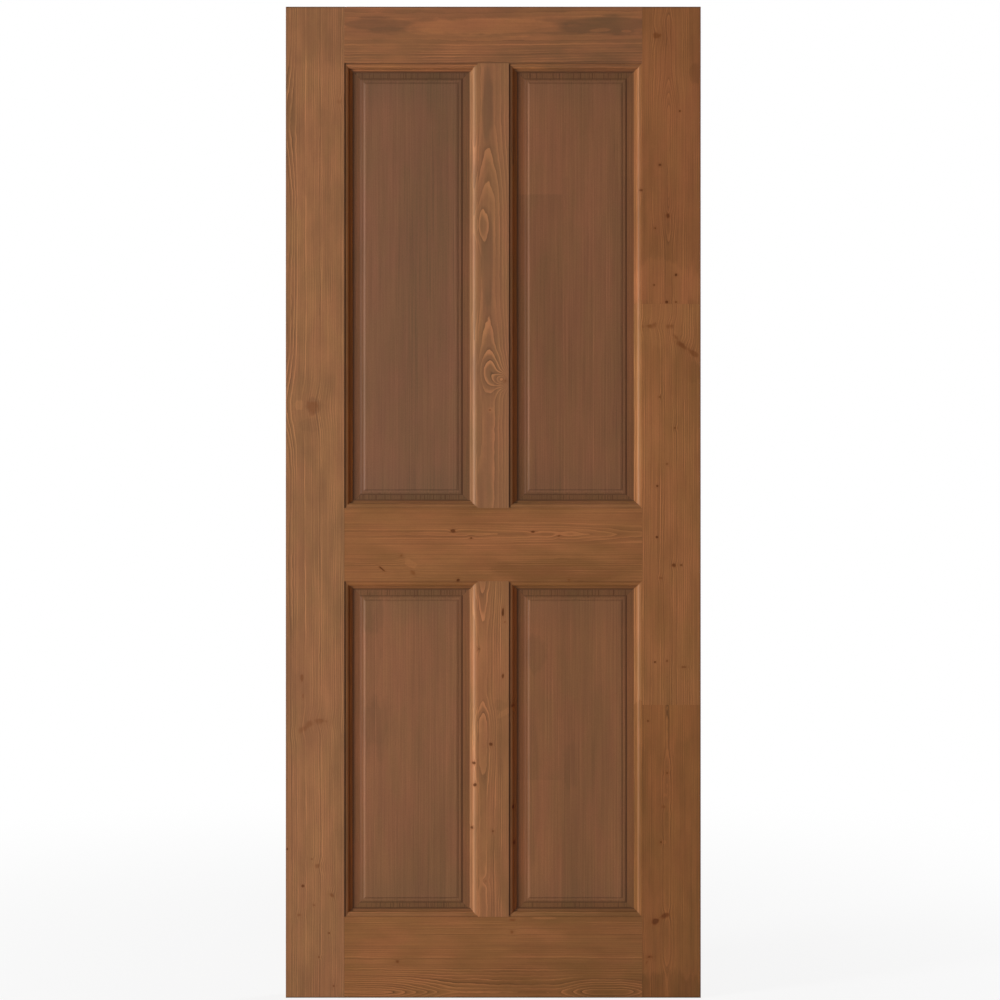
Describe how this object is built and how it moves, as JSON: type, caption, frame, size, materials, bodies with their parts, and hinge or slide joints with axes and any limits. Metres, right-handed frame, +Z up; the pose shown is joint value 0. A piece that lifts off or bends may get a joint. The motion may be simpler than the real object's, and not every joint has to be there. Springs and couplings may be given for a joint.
{
  "type": "four-panel timber door leaf",
  "caption": "Framed timber door leaf with moulded stiles, rails and muntins around raised panels, bare of hinges and lock, ready to hang in a doorway.",
  "frame": {"origin": "middle of the leaf's bottom edge, half way through its thickness", "axes": "+X across the leaf from the left stile to the right stile, +Y through it from the front face to the back face, +Z up"},
  "size_m": [0.85, 0.04, 2.03],
  "materials": {
    "stile_timber": "stained softwood, satin",
    "rail_timber": "stained softwood, satin",
    "muntin_timber": "stained softwood, satin",
    "panel_timber": "stained softwood, satin",
    "dowel_timber": "plain beech, turned"
  },
  "bodies": {
    "root": {"left_stile": "stile_timber", "right_stile_lower_length": "stile_timber", "right_stile_middle_length": "stile_timber", "right_stile_upper_length": "stile_timber", "top_rail": "rail_timber", "lock_rail": "rail_timber", "bottom_rail": "rail_timber", "upper_muntin": "muntin_timber", "lower_muntin": "muntin_timber", "upper_left_panel": "panel_timber", "upper_right_panel": "panel_timber", "lower_left_panel": "panel_timber", "lower_right_panel": "panel_timber", "left_dowels": "dowel_timber", "right_dowels": "dowel_timber"}
  },
  "joints": []
}
